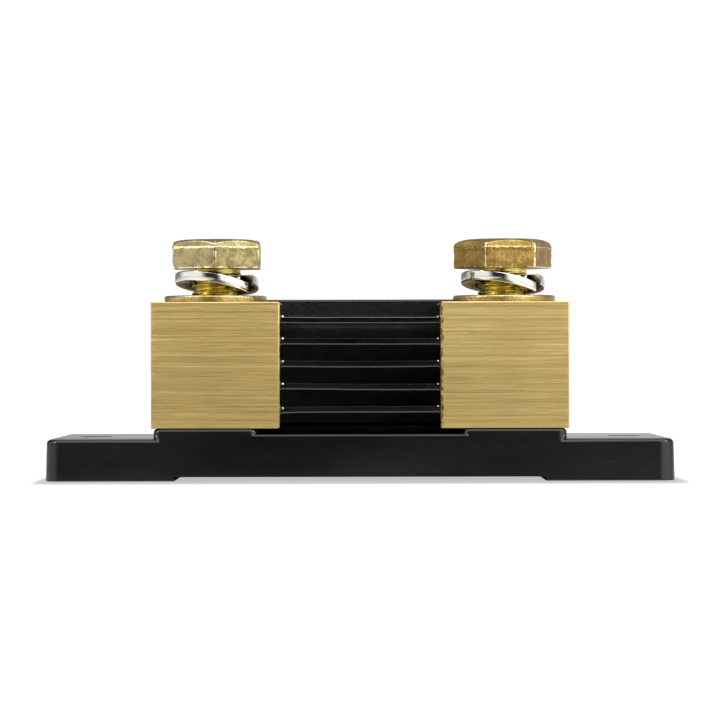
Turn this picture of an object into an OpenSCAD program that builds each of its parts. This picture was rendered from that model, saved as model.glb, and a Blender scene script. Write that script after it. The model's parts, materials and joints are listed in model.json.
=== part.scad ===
// Battery monitor shunt: two brass terminal blocks joined by five resistance strips, on a moulded
// base, with a sensor housing behind the blocks. +X runs along the base, the blocks' open faces
// look towards -Y, +Z is up, and the origin is at the middle of the base's underside.

/* [Base] */
// Length of the base along X
base_l = 120; // [115:1:130]
// Depth of the base along Y
base_w = 54; // [54:1:60]
// Height of the mounting ears
ear_h = 8; // [7:0.5:9]
// Height of the base between the pedestals
mid_h = 8.95; // [8.5:0.05:9.5]
// Height of the pedestals that the blocks stand on
pedestal_h = 10; // [9.6:0.1:12]
// Width of a pedestal along X
pedestal_l = 20.4; // [18:0.1:21]
// Distance from the middle to the outer side of a pedestal
pedestal_x = 39.6; // [39:0.1:40]
// Rounding of the base's corners seen from above
corner_r = 3; // [1:0.5:5]
// Clearance under the middle of the base
recess_h = 0.8; // [0.5:0.1:1.2]
// Distance from the middle to the inner side of a foot
foot_x = 35.4; // [35:0.1:36]
// Diameter of the mounting hole in each ear
ear_hole_d = 6; // [5:0.1:6.5]
// Distance between the two mounting holes
ear_hole_spacing = 104; // [100:0.5:104]

/* [Terminal blocks] */
// Length of a block along X
block_l = 24.6; // [24:0.1:26]
// Depth of a block along Y
block_w = 43; // [42:0.5:44]
// Height of a block
block_h = 24.1; // [23:0.1:26]
// Gap between the two blocks
block_gap = 30.4; // [28:0.1:32]
// Distance from the base's front to the blocks' front faces
block_setback = 0.5; // [0.2:0.1:1]

/* [Resistance strips] */
// Thickness of a strip
strip_t = 1.1; // [0.8:0.1:1.5]
// Height of the lowest strip's middle above the blocks' underside
strip_first = 3.65; // [3:0.05:4]
// Distance from one strip to the next
strip_pitch = 4.3; // [4:0.05:4.5]
// Length of strip soldered into each block
strip_tuck = 4; // [2:0.5:6]
// Distance from the blocks' front and rear faces to the strips' long edges
strip_inset = 0.8; // [0.5:0.1:2]

/* [Terminal bolts] */
// Outer diameter of the thread
thread_d = 9.9; // [9.8:0.01:9.92]
// Bore in the block that holds the thread
thread_bore_d = 10; // [9.98:0.01:10.05]
// Bolt length under the head
bolt_l = 25; // [20:1:28]
// Width of the hexagon across its flats
hex_af = 17; // [16:0.5:17]
// Height of the hexagon
hex_h = 5.8; // [5.5:0.1:6.4]
// Turn of the left bolt's hexagon
left_hex_turn = 30; // [0:1:60]
// Turn of the right bolt's hexagon
right_hex_turn = 8.3; // [0:0.1:60]

/* [Terminal washers] */
// Outer diameter of the flat washer
flat_od = 20; // [18:0.5:21]
// Inner diameter of the flat washer
flat_id = 10.5; // [10.4:0.1:11]
// Thickness of the flat washer
flat_t = 1.5; // [1.5:0.1:2]
// Outer diameter of the spring washer
spring_od = 16.4; // [16:0.1:18]
// Inner diameter of the spring washer
spring_id = 10.4; // [10.3:0.1:10.6]
// Thickness of the spring washer's wire
spring_t = 2; // [1.8:0.1:2.1]
// Height that the relaxed spring washer takes up
spring_space = 5.2; // [5.2:0.1:5.6]

/* [Sensor housing] */
// Width of the housing along X
case_l = 68; // [68:0.5:72]
// Height of the housing's top above the base's underside
case_top = 35.2; // [34.8:0.1:36]
// Wall thickness of the housing and of its cover
case_wall = 1.5; // [1.4:0.1:1.6]
// Depth of the housing without its cover
case_d = 8.8; // [8.6:0.1:8.8]
// Distance of each sense screw from the middle
sense_x = 26; // [25:0.5:26]

/* [Circuit board] */
// Length of the board along X
board_l = 63; // [61:0.5:63]
// Height of the board along Z
board_h = 20.6; // [19:0.1:20.8]
// Thickness of the board
board_t = 1.6; // [1.5:0.1:1.6]

/* [Hidden] */

fine = 96;
eps = 0.01;
fit_gap = 0.05;
sides = [-1, 1];

// Places worked out from the driving dimensions
front_y = -base_w / 2;
block_front = front_y + block_setback;
block_rear = block_front + block_w;
block_x = block_gap / 2 + block_l / 2;
block_top = pedestal_h + block_h;
bolt_x = block_x + 0.5;
bolt_y = block_front + block_w / 2;
head_z = block_top + flat_t + spring_space;
hex_cone_h = 1.3;
flat_slip = 0.25;
seat_x = pedestal_x - pedestal_l + 1;

// M4 screws that hold the blocks to the base from below
m4_r = 2;
m4_head_r = 3.6;
m4_head_h = 2.4;
m4_washer_r = 4;
m4_washer_t = 0.8;
m4_l = 14;
base_screw_dy = 13;
counterbore_r = 4.6;
counterbore_top = 4.4;
clearance_r = 2.25;
driver_slot = 0.9;
driver_depth = 1.4;

// Cored pockets under the base
rim = 2.4;
rib = 1.5;
boss_r = 6.4;
pocket_rows = 5;
foot_columns = 2;
mid_columns = 6;
foot_pocket_top = ear_h - 2.4;
mid_pocket_top = mid_h - 2.4;

// Sensor housing, from the blocks' rear faces backwards
case_bottom = pedestal_h;
case_h = case_top - case_bottom;
case_rear = block_rear + case_d;
standoff = 1;
board_y = block_rear + case_wall + standoff;
board_rear = board_y + board_t;
board_z = (case_bottom + case_top) / 2;
sense_z = board_z;
sense_l = 12;
cover_rear = case_rear + case_wall;
lip_d = 1;
lip_t = 1;
boss_inset = 3.6;
case_boss_r = 2.2;
cover_screw_r = 1.25;
cover_screw_l = 6;
cover_screw_head_r = 2.3;
cover_screw_head_h = 0.9;

// Data socket: a shrouded four-pin header
socket_x = -8;
socket_l = 9.9;
socket_h = 4.5;
socket_wall = 0.7;
socket_depth = 6;
pin_pitch = 2;
pin_w = 0.5;
pin_count = 4;

// Supply terminal: two push-in poles, each with a release button
supply_x = 8;
supply_l = 8;
supply_h = 9;
pole_dx = 1.9;
wire_r = 1.1;
wire_dz = -2.2;
button_dz = 2.2;
button_l = 2;
button_h = 2.2;
button_gap = 0.08;
button_proud = 0.3;
button_travel = 1.2;
pole_chamber_y = 1.2;
window_gap = 0.25;

// Light pipes over the status lamps
pipe_x = 20;
pipe_dx = 3;
pipe_dz = 7.2;
pipe_r = 1.2;

BLACK = [0.06, 0.06, 0.065];
BRASS = [0.72, 0.62, 0.38];
BOLT_BRASS = [0.72, 0.66, 0.42];
STEEL = [0.75, 0.75, 0.76];

// ---- shared shapes ----

// A plate with rounded corners, standing on z = 0 and centred on the Z axis
module rounded_plate(l, w, h, r) {
    translate([-l / 2 + r, -w / 2, 0]) cube([l - 2 * r, w, h]);
    translate([-l / 2, -w / 2 + r, 0]) cube([l, w - 2 * r, h]);
    for (x = sides, y = sides)
        translate([x * (l / 2 - r), y * (w / 2 - r), 0]) cylinder(r = r, h = h, $fn = fine);
}

// A round bar along +Y from the given point
module rod_y(x, y, z, r, h) {
    translate([x, y, z]) rotate([-90, 0, 0]) cylinder(r = r, h = h, $fn = fine);
}

// A box given by its middle in X and Z and by where it starts along Y
module box_y(x, y, z, l, d, h) {
    translate([x - l / 2, y, z - h / 2]) cube([l, d, h]);
}

// A screw along +Z whose head lies below z = 0 and whose shank points up
module screw_up(r, l, head_r, head_h) {
    cylinder(r = r, h = l, $fn = fine);
    difference() {
        translate([0, 0, -head_h]) cylinder(r = head_r, h = head_h, $fn = fine);
        for (a = [0, 90])
            rotate(a) translate([-head_r * 0.6, -driver_slot / 2, -head_h - eps])
                cube([head_r * 1.2, driver_slot, head_h * 0.55 + eps]);
    }
}

// A flat ring standing on z = 0
module ring(outer_r, inner_r, h) {
    difference() {
        cylinder(r = outer_r, h = h, $fn = fine);
        translate([0, 0, -eps]) cylinder(r = inner_r, h = h + 2 * eps, $fn = fine);
    }
}

module at_base_screws() {
    for (x = sides, dy = [-base_screw_dy, base_screw_dy])
        translate([x * bolt_x, bolt_y + dy, 0]) children();
}

// ---- base ----

// Rectangular pockets with ribs between them, from below, over a stretch of the base
module pockets(x0, x1, top, columns) {
    y0 = -base_w / 2 + rim;
    step_x = (x1 - x0 + rib) / columns;
    step_y = (base_w - 2 * rim + rib) / pocket_rows;
    for (i = [0 : columns - 1], j = [0 : pocket_rows - 1])
        translate([x0 + i * step_x, y0 + j * step_y, -eps])
            cube([step_x - rib, step_y - rib, top + eps]);
}

module base_body() {
    rounded_plate(base_l, base_w, ear_h, corner_r);
    rounded_plate(2 * (pedestal_x - 1), base_w - 0.4, mid_h, 0.8);
    for (x = sides)
        translate([x * (pedestal_x - pedestal_l / 2), 0, 0])
            rounded_plate(pedestal_l, base_w - 0.4, pedestal_h, 1.2);
    // the ledge that closes the gap under the housing between the pedestals
    translate([-seat_x, block_rear, 0]) cube([2 * seat_x, base_w / 2 - 0.2 - block_rear, pedestal_h]);
}

module base_pockets() {
    difference() {
        union() {
            pockets(-foot_x + rim, foot_x - rim, mid_pocket_top, mid_columns);
            pockets(foot_x + rim, base_l / 2 - rim, foot_pocket_top, foot_columns);
            pockets(-base_l / 2 + rim, -foot_x - rim, foot_pocket_top, foot_columns);
        }
        for (x = sides)
            translate([x * ear_hole_spacing / 2, 0, -1]) cylinder(r = boss_r, h = ear_h, $fn = fine);
        at_base_screws() translate([0, 0, -1]) cylinder(r = boss_r, h = pedestal_h, $fn = fine);
    }
}

module base() color(BLACK)
    difference() {
        base_body();
        base_pockets();
        translate([-foot_x, -base_w / 2 - 1, -1]) cube([2 * foot_x, base_w + 2, recess_h + 1]);
        for (x = sides)
            translate([x * ear_hole_spacing / 2, 0, -1])
                cylinder(d = ear_hole_d, h = ear_h + 2, $fn = fine);
        at_base_screws() {
            translate([0, 0, -1]) cylinder(r = counterbore_r, h = counterbore_top + 1, $fn = fine);
            cylinder(r = clearance_r, h = pedestal_h + 1, $fn = fine);
        }
    }

module base_screws() color(STEEL)
    at_base_screws() translate([0, 0, counterbore_top - m4_washer_t])
        screw_up(m4_r, m4_l, m4_head_r, m4_head_h);

module base_screw_washers() color(STEEL)
    at_base_screws() translate([0, 0, counterbore_top - m4_washer_t])
        ring(m4_washer_r, clearance_r, m4_washer_t);

// ---- terminal blocks and strips ----

module strip_slots(side) {
    for (i = [0 : 4])
        translate([side > 0 ? block_gap / 2 - eps : -block_gap / 2 - strip_tuck,
                   block_front + strip_inset, pedestal_h + strip_first + i * strip_pitch - strip_t / 2])
            cube([strip_tuck + eps, block_w - 2 * strip_inset, strip_t]);
}

module terminal_block(side) color(BRASS)
    difference() {
        translate([side * block_x - block_l / 2, block_front, pedestal_h])
            cube([block_l, block_w, block_h]);
        translate([side * bolt_x, bolt_y, pedestal_h - 1])
            cylinder(d = thread_bore_d, h = block_h + 2, $fn = fine);
        translate([side * bolt_x, bolt_y, block_top - 0.4])
            cylinder(d1 = thread_bore_d, d2 = thread_bore_d + 1, h = 0.5, $fn = fine);
        for (dy = [-base_screw_dy, base_screw_dy])
            translate([side * bolt_x, bolt_y + dy, pedestal_h - 1])
                cylinder(r = m4_r + fit_gap, h = m4_l - pedestal_h + counterbore_top + 2, $fn = fine);
        rod_y(side * sense_x, block_rear - sense_l + 3, sense_z, m4_r + fit_gap, sense_l);
        strip_slots(side);
    }

module left_block() terminal_block(-1);
module right_block() terminal_block(1);

module shunt_strip(i) color(BLACK)
    translate([-block_gap / 2 - strip_tuck, block_front + strip_inset,
               pedestal_h + strip_first + (i - 1) * strip_pitch - strip_t / 2])
        cube([block_gap + 2 * strip_tuck, block_w - 2 * strip_inset, strip_t]);

module shunt_strip_1() shunt_strip(1);
module shunt_strip_2() shunt_strip(2);
module shunt_strip_3() shunt_strip(3);
module shunt_strip_4() shunt_strip(4);
module shunt_strip_5() shunt_strip(5);

// ---- terminal bolts and washers ----

// A hexagon bolt standing upright: the top corners are turned down by a shallow cone
module terminal_bolt(side, turn) color(BOLT_BRASS)
    translate([side * bolt_x, bolt_y, head_z]) {
        translate([0, 0, -bolt_l]) cylinder(d = thread_d, h = bolt_l, $fn = fine);
        intersection() {
            rotate(turn) cylinder(r = hex_af / sqrt(3), h = hex_h, $fn = 6);
            union() {
                cylinder(r = hex_af, h = hex_h - hex_cone_h, $fn = fine);
                translate([0, 0, hex_h - hex_cone_h])
                    cylinder(r1 = hex_af / 2 + 1.75, r2 = hex_af / 2 - 0.5, h = hex_cone_h, $fn = fine);
            }
        }
    }

module left_terminal_bolt() terminal_bolt(-1, left_hex_turn);
module right_terminal_bolt() terminal_bolt(1, right_hex_turn);

// Each flat washer has slipped outward until it nearly touches the shank
module flat_washer(side) color(BRASS)
    translate([side * (bolt_x + flat_slip), bolt_y, block_top]) ring(flat_od / 2, flat_id / 2, flat_t);

module left_flat_washer() flat_washer(-1);
module right_flat_washer() flat_washer(1);

// The split washer is one turn of square wire. Angle a runs clockwise from the front (-Y); the wire
// climbs quickly from its lower end, and the whole turn leans up towards the front.
spring_start = -50;
spring_sweep = 348;
spring_steps = 72;
spring_mid = 1.08;
spring_climb = 1.85;
spring_lean = 1.75;
spring_lean_at = 25;

function spring_z(a) =
    let (t = (a - spring_start) / 350)
    spring_mid + spring_climb * (1 - pow(1 - t, 3)) + spring_lean * cos(a - spring_lean_at);

function spring_section(a) =
    [for (c = [[spring_id / 2, -1], [spring_od / 2, -1], [spring_od / 2, 1], [spring_id / 2, 1]])
        [-sin(a) * c[0], -cos(a) * c[0], spring_z(a) + c[1] * spring_t / 2]];

module spring_washer(side) color(STEEL) {
    angles = [for (i = [0 : spring_steps]) spring_start + spring_sweep * i / spring_steps];
    points = [for (a = angles) each spring_section(a)];
    walls = [for (i = [0 : spring_steps - 1], k = [0 : 3])
        [4 * i + k, 4 * i + (k + 1) % 4, 4 * (i + 1) + (k + 1) % 4, 4 * (i + 1) + k]];
    last = 4 * spring_steps;
    ends = [[3, 2, 1, 0], [last, last + 1, last + 2, last + 3]];
    translate([side * bolt_x, bolt_y, block_top + flat_t])
        polyhedron(points = points, faces = concat(walls, ends));
}

module left_spring_washer() spring_washer(-1);
module right_spring_washer() spring_washer(1);

// ---- sensor housing ----

module at_cover_screws() {
    for (x = sides, z = [case_bottom + boss_inset, case_top - boss_inset])
        translate([x * (case_l / 2 - boss_inset), 0, z]) children();
}

module sensor_case() color(BLACK)
    difference() {
        union() {
            difference() {
                box_y(0, block_rear, board_z, case_l, case_d, case_h);
                box_y(0, block_rear + case_wall, board_z,
                      case_l - 2 * case_wall, case_d, case_h - 2 * case_wall);
            }
            at_cover_screws() rod_y(0, block_rear + case_wall - eps, 0, case_boss_r, case_d - case_wall);
            for (x = sides)
                rod_y(x * sense_x, block_rear + case_wall - eps, sense_z, 6, standoff + eps);
        }
        at_cover_screws()
            rod_y(0, case_rear - cover_screw_l + 0.4, 0, cover_screw_r + fit_gap, cover_screw_l);
        for (x = sides) rod_y(x * sense_x, block_rear - 1, sense_z, 4.1, case_wall + standoff + 2);
    }

module cover_windows() {
    box_y(socket_x, case_rear - 2, board_z, socket_l + 2 * window_gap, 4, socket_h + 2 * window_gap);
    box_y(supply_x, case_rear - 2, board_z, supply_l + 2 * window_gap, 4, supply_h + 2 * window_gap);
    for (i = [0, 1]) rod_y(pipe_x + i * pipe_dx, case_rear - 2, board_z + pipe_dz, pipe_r + fit_gap, 4);
}

module sensor_cover() color(BLACK)
    difference() {
        union() {
            box_y(0, case_rear, board_z, case_l, case_wall, case_h);
            difference() {
                box_y(0, case_rear - lip_d, board_z, case_l - 2 * case_wall - 0.2, lip_d + eps,
                      case_h - 2 * case_wall - 0.2);
                box_y(0, case_rear - lip_d - 1, board_z, case_l - 2 * case_wall - 2 * lip_t - 0.2,
                      lip_d + 1, case_h - 2 * case_wall - 2 * lip_t - 0.2);
                at_cover_screws() rod_y(0, case_rear - lip_d - 1, 0, case_boss_r + 0.15, lip_d + 1);
            }
        }
        cover_windows();
        at_cover_screws() {
            rod_y(0, case_rear - 2, 0, cover_screw_r + 0.1, 4);
            rod_y(0, cover_rear - cover_screw_head_h, 0, cover_screw_head_r + 0.1, 2);
        }
    }

module cover_screws() color(STEEL)
    at_cover_screws() translate([0, cover_rear - cover_screw_head_h, 0]) rotate([90, 0, 0])
        screw_up(cover_screw_r, cover_screw_l - cover_screw_head_h, cover_screw_head_r,
                 cover_screw_head_h - 0.1);

module circuit_board() color([0.05, 0.25, 0.12])
    difference() {
        box_y(0, board_y, board_z, board_l, board_t, board_h);
        at_cover_screws() rod_y(0, board_y - 1, 0, case_boss_r + 0.5, board_t + 2);
        for (x = sides) rod_y(x * sense_x, board_y - 1, sense_z, clearance_r, board_t + 2);
        for (i = [0 : pin_count - 1])
            rod_y(socket_x + (i - 1.5) * pin_pitch, board_y - 1, board_z, 0.45, board_t + 2);
    }

module sense_screws() color(STEEL)
    for (x = sides)
        translate([x * sense_x, board_rear + m4_washer_t, sense_z]) rotate([90, 0, 0])
            screw_up(m4_r, sense_l, m4_head_r, m4_head_h);

module sense_washers() color(STEEL)
    for (x = sides)
        translate([x * sense_x, board_rear, sense_z]) rotate([-90, 0, 0])
            ring(m4_washer_r, clearance_r, m4_washer_t);

module sense_spacers() color(BRASS)
    for (x = sides)
        translate([x * sense_x, block_rear, sense_z]) rotate([-90, 0, 0])
            ring(m4_washer_r, clearance_r, case_wall + standoff);

// ---- sockets and terminals on the board ----

module data_socket() color([0.85, 0.83, 0.78])
    difference() {
        box_y(socket_x, board_rear, board_z, socket_l, socket_depth, socket_h);
        box_y(socket_x, board_rear + 1.2, board_z, socket_l - 2 * socket_wall, socket_depth,
              socket_h - 2 * socket_wall);
        for (i = [0 : pin_count - 1])
            rod_y(socket_x + (i - 1.5) * pin_pitch, board_rear - 1, board_z, 0.4, 4);
    }

module data_socket_pins() color(STEEL)
    for (i = [0 : pin_count - 1])
        box_y(socket_x + (i - 1.5) * pin_pitch, board_y - 0.6, board_z, pin_w,
              board_t + socket_depth - 0.4, pin_w);

module supply_terminal() color([0.10, 0.22, 0.14])
    difference() {
        box_y(supply_x, board_rear, board_z, supply_l, socket_depth, supply_h);
        for (x = sides) {
            rod_y(supply_x + x * pole_dx, board_rear + 2.5, board_z + wire_dz, wire_r, socket_depth);
            box_y(supply_x + x * pole_dx, board_rear + pole_chamber_y, board_z + button_dz,
                  button_l + 2 * button_gap, socket_depth, button_h + 2 * button_gap);
            box_y(supply_x + x * pole_dx, board_rear + 0.6, board_z, button_l + 2 * button_gap,
                  2.4, supply_h - 1.8);
        }
    }

// A bent leaf behind each wire hole; the release button pushes its upper arm
module supply_clamp_springs() color(STEEL)
    for (x = sides)
        translate([supply_x + x * pole_dx - 0.9, board_rear + 0.7, board_z])
            rotate([90, 0, 90]) linear_extrude(1.8)
                polygon([[0, -3.4], [0.25, -3.4], [0.25, 2.4], [0.7, 3.2], [1.1, -2.2], [1.35, -2.2],
                         [0.95, 3.5], [0.5, 3.5], [0, 2.6]]);

module release_button(side) color([0.85, 0.35, 0.08])
    box_y(supply_x + side * pole_dx, board_rear + 3.4, board_z + button_dz, button_l,
          socket_depth - 3.4 + button_proud, button_h);

module left_release_button() release_button(-1);
module right_release_button() release_button(1);

module light_pipes() color([0.85, 0.88, 0.9, 0.6])
    for (i = [0, 1]) {
        rod_y(pipe_x + i * pipe_dx, board_rear + 1, board_z + pipe_dz, pipe_r,
              cover_rear - board_rear - 1);
        rod_y(pipe_x + i * pipe_dx, case_rear - 0.6, board_z + pipe_dz, pipe_r + 0.3, 0.6);
    }

module status_leds() color([0.95, 0.95, 0.9])
    for (i = [0, 1])
        box_y(pipe_x + i * pipe_dx, board_rear, board_z + pipe_dz, 1.6, 0.7, 0.9);

// ---- board components ----

// A component lying on the board's rear side
module on_board(x, z, l, h, t) {
    box_y(x, board_rear, board_z + z, l, t, h);
}

module controller_chip() color(BLACK) on_board(-18, 5.9, 7, 7, 0.9);
module radio_module() color(STEEL) on_board(-1.2, 6.4, 9, 5.5, 1.9);
module amplifier_chip() color(BLACK) on_board(-18, -4.6, 5, 4, 1.2);
module timing_crystal() color(STEEL) on_board(-11.5, 6.8, 3.2, 2.5, 0.8);
module supply_fuse() color([0.9, 0.9, 0.85]) on_board(16, -6, 3.2, 1.6, 1.2);
module supply_inductor() color([0.2, 0.2, 0.2]) on_board(0, -6.2, 5, 5, 2.4);

module board_capacitors() color([0.65, 0.5, 0.3])
    for (i = [0 : 5]) on_board(-13 + i * 3.4, -9.5, 1.6, 0.8, 0.8);

module board_resistors() color([0.1, 0.1, 0.12])
    for (i = [0 : 5]) on_board(-13.5 + i * 2.6, 9.6, 0.8, 0.9, 0.5);

base();
base_screws();
base_screw_washers();
left_block();
right_block();
shunt_strip_1();
shunt_strip_2();
shunt_strip_3();
shunt_strip_4();
shunt_strip_5();
left_terminal_bolt();
right_terminal_bolt();
left_spring_washer();
right_spring_washer();
left_flat_washer();
right_flat_washer();
sensor_case();
sensor_cover();
cover_screws();
circuit_board();
sense_screws();
sense_washers();
sense_spacers();
data_socket();
data_socket_pins();
supply_terminal();
supply_clamp_springs();
left_release_button();
right_release_button();
light_pipes();
status_leds();
controller_chip();
radio_module();
amplifier_chip();
timing_crystal();
supply_fuse();
supply_inductor();
board_capacitors();
board_resistors();
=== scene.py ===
import json
import math

import bmesh
import bpy
from mathutils import Matrix, Vector, noise


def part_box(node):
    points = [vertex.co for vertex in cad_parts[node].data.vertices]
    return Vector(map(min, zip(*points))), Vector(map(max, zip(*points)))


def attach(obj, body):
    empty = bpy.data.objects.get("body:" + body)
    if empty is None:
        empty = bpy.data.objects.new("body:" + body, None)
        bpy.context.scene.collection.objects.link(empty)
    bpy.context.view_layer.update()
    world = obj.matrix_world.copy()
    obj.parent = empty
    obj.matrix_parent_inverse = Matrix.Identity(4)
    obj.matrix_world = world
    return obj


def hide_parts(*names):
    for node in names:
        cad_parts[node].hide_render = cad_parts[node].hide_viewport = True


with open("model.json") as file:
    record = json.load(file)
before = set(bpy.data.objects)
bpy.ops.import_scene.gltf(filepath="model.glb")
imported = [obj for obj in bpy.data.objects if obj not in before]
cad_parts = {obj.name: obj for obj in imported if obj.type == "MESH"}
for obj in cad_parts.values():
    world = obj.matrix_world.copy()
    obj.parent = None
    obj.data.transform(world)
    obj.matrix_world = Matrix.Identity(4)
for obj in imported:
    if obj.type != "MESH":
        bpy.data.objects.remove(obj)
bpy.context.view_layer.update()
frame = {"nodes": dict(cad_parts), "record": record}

MM = 0.001
TAU = 2 * math.pi
SIDES = {"left": -1, "right": 1}
NEAR = 1e-5         # coordinates closer than this, in metres, count as the same
WELD = 2e-6         # vertices closer than this are one
FLAT_ANGLE = 0.5    # faces that meet at less than this, in degrees, are one
ROUNDED_ANGLE = 40  # convex edges sharper than this, in degrees, are rounded
ROUND_STEPS = 3
# A rectangle's corners, counter-clockwise: the sign of each coordinate, and where the corner's arc starts
CORNERS = ((1, 1, 0), (-1, 1, 90), (-1, -1, 180), (1, -1, 270))

# ---------------------------------------------------------------- mesh helpers


def finish_mesh(name, work, *materials, sharp=32):
    """Turns a bmesh into a smooth-shaded object and frees it. sharp is as in smooth."""
    bmesh.ops.recalc_face_normals(work, faces=work.faces)
    mesh = bpy.data.meshes.new(name)
    work.to_mesh(mesh)
    work.free()
    piece = bpy.data.objects.new(name, mesh)
    bpy.context.scene.collection.objects.link(piece)
    smooth(piece, sharp)
    for material in materials:
        mesh.materials.append(material)
    return piece


def smooth(piece, sharp=32):
    """Shades a piece smooth except over edges above the sharp angle, and keeps its broad faces even."""
    piece.data.shade_smooth()
    piece.data.set_sharp_from_angle(angle=math.radians(sharp))
    weigh = piece.modifiers.new("even_faces", "WEIGHTED_NORMAL")
    weigh.keep_sharp = True


def skin(work, rings, closed=True, caps=True):
    """Adds the surface through rings of points that all have the same count, and returns their vertices.
    An open ring is a row."""
    rows = [[work.verts.new(p) for p in ring] for ring in rings]
    count = len(rings[0])
    last = count if closed else count - 1
    for low, high in zip(rows, rows[1:]):
        for i in range(last):
            j = (i + 1) % count
            work.faces.new((low[i], low[j], high[j], high[i]))
    if caps:
        work.faces.new(list(reversed(rows[0])))
        work.faces.new(rows[-1])
    return rows


def cone_cap(work, row, point):
    """Closes a ring with triangles to one point."""
    tip = work.verts.new(point)
    for i, vert in enumerate(row):
        work.faces.new((vert, row[(i + 1) % len(row)], tip))


def lathe(work, profile, centre, count, shape):
    """Turns a closed profile of (radius, height) points about the Z axis through centre. shape takes an
    angle, a radius and a height, and returns the radius and height to use there."""
    rows = []
    for i in range(count):
        a = TAU * i / count
        column = [shape(a, r, z) for r, z in profile]
        rows.append([work.verts.new((centre[0] + r * math.cos(a), centre[1] + r * math.sin(a), centre[2] + z))
                     for r, z in column])
    size = len(profile)
    for i in range(count):
        here, there = rows[i], rows[(i + 1) % count]
        for k in range(size):
            n = (k + 1) % size
            work.faces.new((here[k], there[k], there[n], here[n]))


def arc(centre, radius, start, end, steps):
    """Points of an arc in a plane, angles in degrees, both ends included."""
    points = []
    for i in range(steps + 1):
        a = math.radians(start + (end - start) * i / steps)
        points.append((centre[0] + radius * math.cos(a), centre[1] + radius * math.sin(a)))
    return points


def rounded_outline(length, width, radius, steps):
    """A rectangle with round corners, about the origin."""
    x, y = length / 2 - radius, width / 2 - radius
    outline = []
    for sx, sy, start in CORNERS:
        outline += arc((sx * x, sy * y), radius, start, start + 90, steps)
    return outline


def quarter(steps):
    """Evenly spaced angles from 0 to a right angle, both included."""
    return [math.pi / (2 * steps) * i for i in range(steps + 1)]


DRAFT = math.tan(math.radians(1.6))
SMALLEST_CORNER = 0.05 * MM


def slab(name, centre, length, width, z0, z1, corner, top, foot):
    """An upright block with moulding draft. corner, top and foot are the radii of its plan corners, its
    top edge and its foot edge."""
    levels = [(foot * (1 - math.sin(a)), z0 + foot * (1 - math.cos(a))) for a in quarter(4)]
    levels += [(top * (1 - math.cos(a)), z1 - top * (1 - math.sin(a))) for a in quarter(6)]
    rings = []
    for inset, z in levels:
        inset += DRAFT * z
        outline = rounded_outline(length - 2 * inset, width - 2 * inset,
                                  max(corner - inset, SMALLEST_CORNER), 8)
        rings.append([(centre[0] + x, centre[1] + y, z) for x, y in outline])
    work = bmesh.new()
    skin(work, rings)
    return finish_mesh(name, work)


def box_into(work, low, high):
    """Adds a box from its two opposite corners."""
    corners = [(x, y, z) for z in (low[2], high[2]) for x, y in
               ((low[0], low[1]), (high[0], low[1]), (high[0], high[1]), (low[0], high[1]))]
    v = [work.verts.new(c) for c in corners]
    for face in ((3, 2, 1, 0), (4, 5, 6, 7), (0, 1, 5, 4), (1, 2, 6, 5), (2, 3, 7, 6), (3, 0, 4, 7)):
        work.faces.new([v[i] for i in face])


POST_SIDES = 64


def post_into(work, x, y, z0, z1, r0, r1=None):
    """Adds a round post along Z, or a cone when r1 is given."""
    r1 = r0 if r1 is None else r1
    ring = [(math.cos(TAU * i / POST_SIDES), math.sin(TAU * i / POST_SIDES)) for i in range(POST_SIDES)]
    skin(work, [[(x + r0 * c, y + r0 * s, z0) for c, s in ring],
                [(x + r1 * c, y + r1 * s, z1) for c, s in ring]])


def combine(target, tool, operation="DIFFERENCE"):
    """Applies one boolean to target and removes the tool."""
    target.modifiers.clear()
    step = target.modifiers.new("combine", "BOOLEAN")
    step.operation = operation
    step.solver = "EXACT"
    step.object = tool
    graph = bpy.context.evaluated_depsgraph_get()
    mesh = bpy.data.meshes.new_from_object(target.evaluated_get(graph))
    target.modifiers.clear()
    target.data = mesh
    bpy.data.objects.remove(tool)
    smooth(target)


def soft_copy(node, name, rounds, *materials):
    """A welded copy of a CAD node whose convex edges are rounded. rounds lists (radius, test) pairs,
    taken in turn, and a test says which edges the radius is for."""
    work = bmesh.new()
    work.from_mesh(frame["nodes"][node].data)
    bmesh.ops.remove_doubles(work, verts=work.verts, dist=WELD)
    bmesh.ops.dissolve_limit(work, angle_limit=math.radians(FLAT_ANGLE), verts=work.verts,
                             edges=work.edges)
    for face in work.faces:
        face.material_index = 0
    for radius, test in rounds:
        chosen = [e for e in work.edges if e.is_manifold and test(e)
                  and e.calc_face_angle_signed() > math.radians(ROUNDED_ANGLE)]
        bmesh.ops.bevel(work, geom=chosen, offset=radius, segments=ROUND_STEPS, profile=0.5,
                        affect="EDGES", clamp_overlap=True)
    return finish_mesh(name, work, *materials)


def on_hull_edge(low, high):
    """A test for edges that lie where two outer planes of a box meet."""
    def test(edge):
        planes = 0
        for axis in range(3):
            for bound in (low[axis], high[axis]):
                planes += all(abs(v.co[axis] - bound) < NEAR for v in edge.verts)
        return planes >= 2
    return test


def ripple(point, scale, amount):
    """A smooth random offset at a point."""
    return amount * noise.noise(Vector(point) * scale)


# ---------------------------------------------------------------- material helpers


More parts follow.
